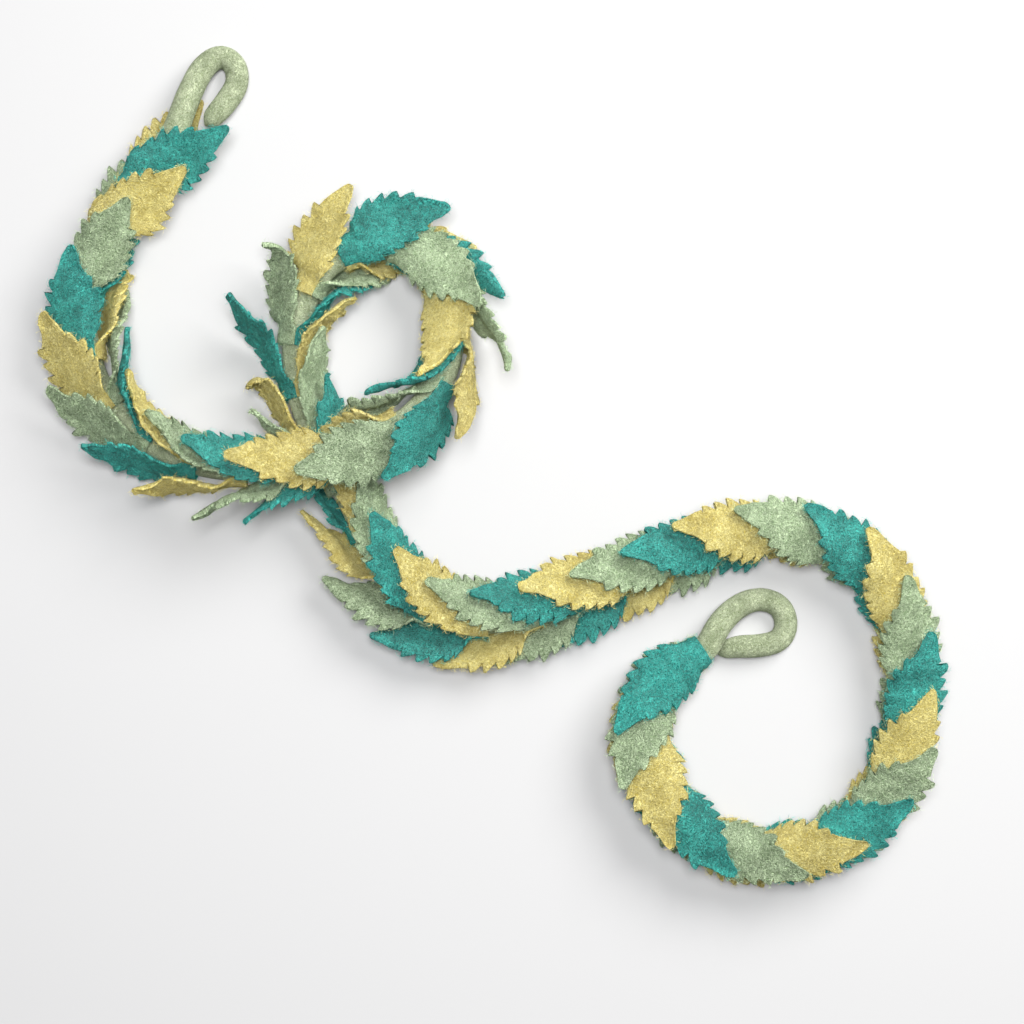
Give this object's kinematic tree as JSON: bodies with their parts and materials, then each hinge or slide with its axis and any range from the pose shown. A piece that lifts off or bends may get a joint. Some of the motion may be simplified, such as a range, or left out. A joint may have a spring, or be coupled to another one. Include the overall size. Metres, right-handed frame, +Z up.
{
  "type": "felt leaf garland",
  "caption": "Felt garland of overlapping toothed leaves sewn along a felt rope that ends in hanging loops, lying in a winding line that crosses itself.",
  "frame": {"origin": "centre of the footprint, on the surface the garland lies on", "axes": "+Z up from the surface; +X to the right and +Y away, as seen from above with loop A at the upper left and loop B at the lower right of the middle"},
  "size_m": [0.6212, 0.5852, 0.0736],
  "materials": {
    "teal": "soft matte felt",
    "sage": "soft matte felt",
    "mustard": "soft matte felt",
    "rope": "soft matte felted rope"
  },
  "bodies": {
    "root": {"rope_core": "rope", "loop_a": "rope", "loop_b": "rope", "leaf_pair_00": "teal", "leaf_pair_01": "sage", "leaf_pair_02": "mustard", "leaf_pair_03": "teal", "leaf_pair_04": "sage", "leaf_pair_05": "mustard", "leaf_pair_06": "teal", "leaf_pair_07": "sage", "leaf_pair_08": "mustard", "leaf_pair_09": "teal", "leaf_pair_10": "sage", "leaf_pair_11": "mustard", "leaf_pair_12": "teal", "leaf_pair_13": "sage", "leaf_pair_14": "mustard", "leaf_pair_15": "teal", "leaf_pair_16": "sage", "leaf_pair_17": "mustard", "leaf_pair_18": "teal", "leaf_pair_19": "sage", "leaf_pair_20": "mustard", "leaf_pair_21": "teal", "leaf_pair_22": "sage", "leaf_pair_23": "mustard", "leaf_pair_24": "teal", "leaf_pair_25": "sage", "leaf_pair_26": "mustard", "leaf_pair_27": "teal", "leaf_pair_28": "sage", "leaf_pair_29": "mustard", "leaf_pair_30": "teal", "leaf_pair_31": "sage", "leaf_pair_32": "mustard", "leaf_pair_33": "teal", "leaf_pair_34": "sage", "leaf_pair_35": "mustard", "leaf_pair_36": "teal", "leaf_pair_37": "sage", "leaf_pair_38": "mustard", "leaf_pair_39": "teal", "leaf_pair_40": "sage", "leaf_pair_41": "mustard", "leaf_pair_42": "teal", "leaf_pair_43": "sage", "leaf_pair_44": "mustard"}
  },
  "joints": []
}
